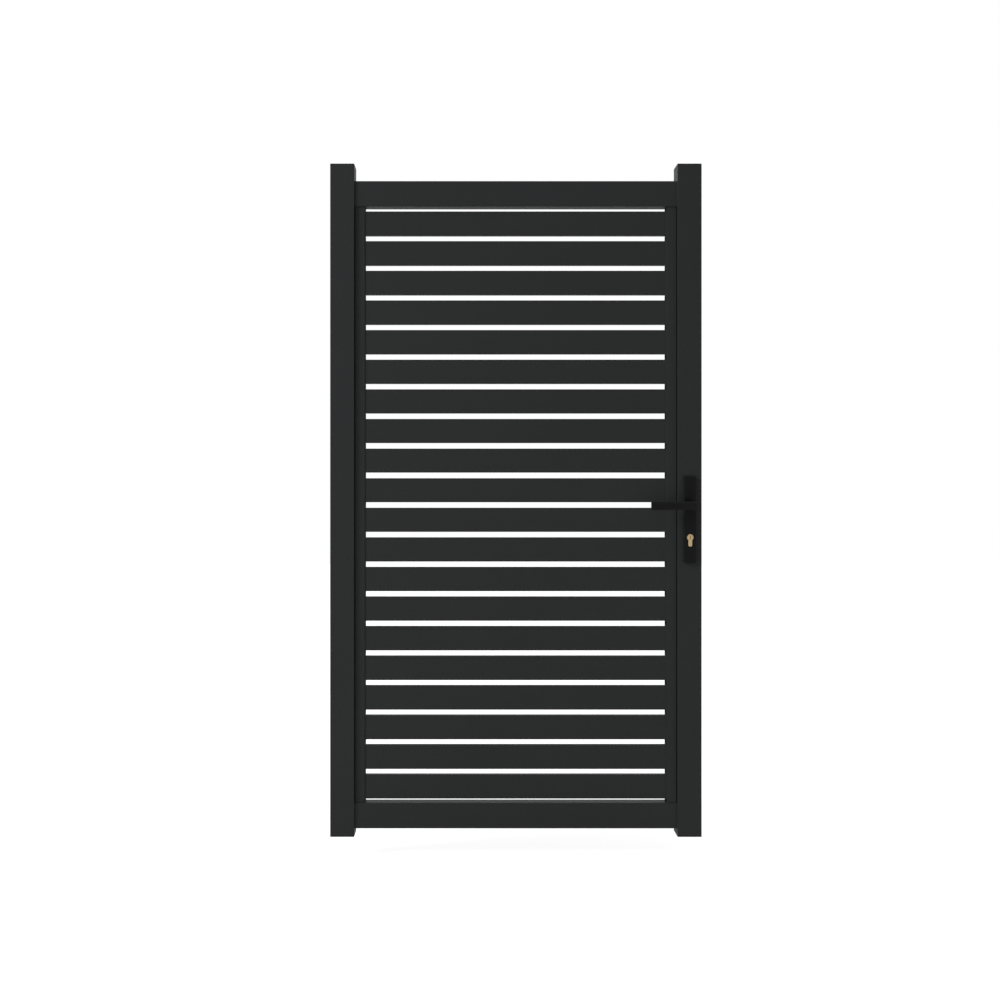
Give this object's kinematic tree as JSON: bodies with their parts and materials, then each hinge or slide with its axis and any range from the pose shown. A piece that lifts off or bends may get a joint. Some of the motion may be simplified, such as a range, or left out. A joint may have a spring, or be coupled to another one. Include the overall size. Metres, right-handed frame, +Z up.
{
  "type": "aluminium pedestrian gate",
  "caption": "Slatted aluminium pedestrian gate leaf with square stiles, lever lock set and rear hinges on post brackets.",
  "frame": {"origin": "on the post face of the lower hinge bracket, level with its arm and its pin", "axes": "+X from the hinge post to the free edge, +Y from the front of the leaf to the rear, +Z up"},
  "size_m": [1.001, 0.19, 1.8],
  "materials": {
    "frame": "fine-textured matt anthracite powder coat",
    "slat": "fine-textured matt anthracite powder coat",
    "cap": "matt anthracite moulded plastic",
    "lock_black": "satin black coated aluminium",
    "lock_steel": "brushed stainless steel",
    "brass": "satin brass",
    "hinge_steel": "matt anthracite powder coat on steel"
  },
  "bodies": {
    "post_brackets": {"hinge_bracket_lower": "hinge_steel", "hinge_bracket_upper": "hinge_steel"},
    "leaf": {"hinge_strap_lower": "hinge_steel", "hinge_strap_upper": "hinge_steel", "stile_left": "frame", "stile_right": "frame", "top_rail": "frame", "bottom_rail": "frame", "channel_left": "frame", "channel_right": "frame", "cap_top_left": "cap", "cap_top_right": "cap", "cap_bottom_left": "cap", "cap_bottom_right": "cap", "lock_case": "lock_steel", "lock_forend": "lock_steel", "latch_bolt": "lock_steel", "dead_bolt": "lock_steel", "lock_plate_front": "lock_black", "lock_plate_rear": "lock_black", "knob_rear": "lock_black", "cylinder": "brass", "cylinder_plug_front": "brass", "cylinder_plug_rear": "brass", "slat_01": "slat", "slat_02": "slat", "slat_03": "slat", "slat_04": "slat", "slat_05": "slat", "slat_06": "slat", "slat_07": "slat", "slat_08": "slat", "slat_09": "slat", "slat_10": "slat", "slat_11": "slat", "slat_12": "slat", "slat_13": "slat", "slat_14": "slat", "slat_15": "slat", "slat_16": "slat", "slat_17": "slat", "slat_18": "slat", "slat_19": "slat", "slat_20": "slat"},
    "handle": {"lever_front": "lock_black", "spindle": "lock_steel"}
  },
  "joints": [
    {"name": "gate_hinge", "type": "hinge", "parent": "post_brackets", "child": "leaf", "pos_m": [0.03, 0, 0], "axis": [0, 0, 1], "range_deg": [0, 100]},
    {"name": "lever_turn", "type": "hinge", "parent": "leaf", "child": "handle", "pos_m": [0.9688, -0.064, 0.656], "axis": [0, -1, 0], "range_deg": [0, 40], "stiffness_Nm_per_rad": 1.5, "springref_deg": -20.05}
  ]
}
